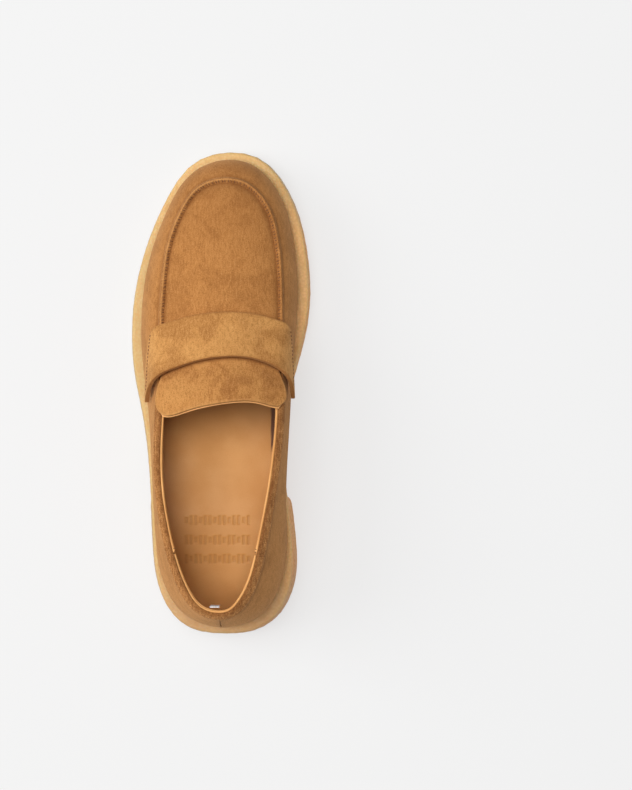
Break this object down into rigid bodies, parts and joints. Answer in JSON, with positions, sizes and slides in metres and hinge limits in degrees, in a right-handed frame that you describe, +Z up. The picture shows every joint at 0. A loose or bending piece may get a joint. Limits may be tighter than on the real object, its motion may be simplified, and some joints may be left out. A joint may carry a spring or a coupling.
{
  "type": "loafer shoe",
  "caption": "Left slip-on loafer: suede upper with a moc-toe apron, plain saddle strap, short tongue and padded collar, on a layered crepe sole with a low heel.",
  "frame": {"origin": "on the floor, under the middle of the sole's outline (the bounding box's bottom centre)", "axes": "+Y towards the toe, +Z up, +X towards the inner (medial) side of the foot"},
  "size_m": [0.1111, 0.298, 0.0967],
  "materials": {
    "suede": "matt brushed nap, golden tan",
    "lining_leather": "smooth, low sheen, warm tan",
    "crepe": "matt, pebbled, honey coloured",
    "insole_board": "matt fibre board",
    "stiffener": "resin-stiffened cloth",
    "foam": "soft foam",
    "cork_filler": "granular cork",
    "shank_steel": "plain strip",
    "thread": "matt twisted thread",
    "label": "woven, white"
  },
  "bodies": {
    "shoe": {"outsole": "crepe", "midsole": "crepe", "heel_block": "crepe", "heel_top_piece": "crepe", "shank": "shank_steel", "forefoot_filler": "cork_filler", "insole_board": "insole_board", "sock_foam": "foam", "sock_lining": "lining_leather", "side_wall": "suede", "apron": "suede", "raised_seam": "suede", "saddle_strap": "suede", "saddle_backer": "lining_leather", "saddle_thread_lateral": "thread", "saddle_thread_medial": "thread", "collar": "suede", "collar_foam": "foam", "heel_counter": "stiffener", "toe_puff": "stiffener", "vamp_lining": "lining_leather", "apron_lining": "lining_leather", "quarter_lining_lateral": "lining_leather", "quarter_lining_medial": "lining_leather", "heel_lining": "lining_leather", "heel_label": "label"},
    "tongue_flap": {"tongue": "suede", "tongue_lining": "lining_leather"}
  },
  "joints": [
    {"name": "tongue_lift", "type": "hinge", "parent": "shoe", "child": "tongue_flap", "pos_m": [0, 0.0215, 0.07457], "axis": [-1, 0, 0], "range_deg": [0, 12], "stiffness_Nm_per_rad": 0.02}
  ]
}
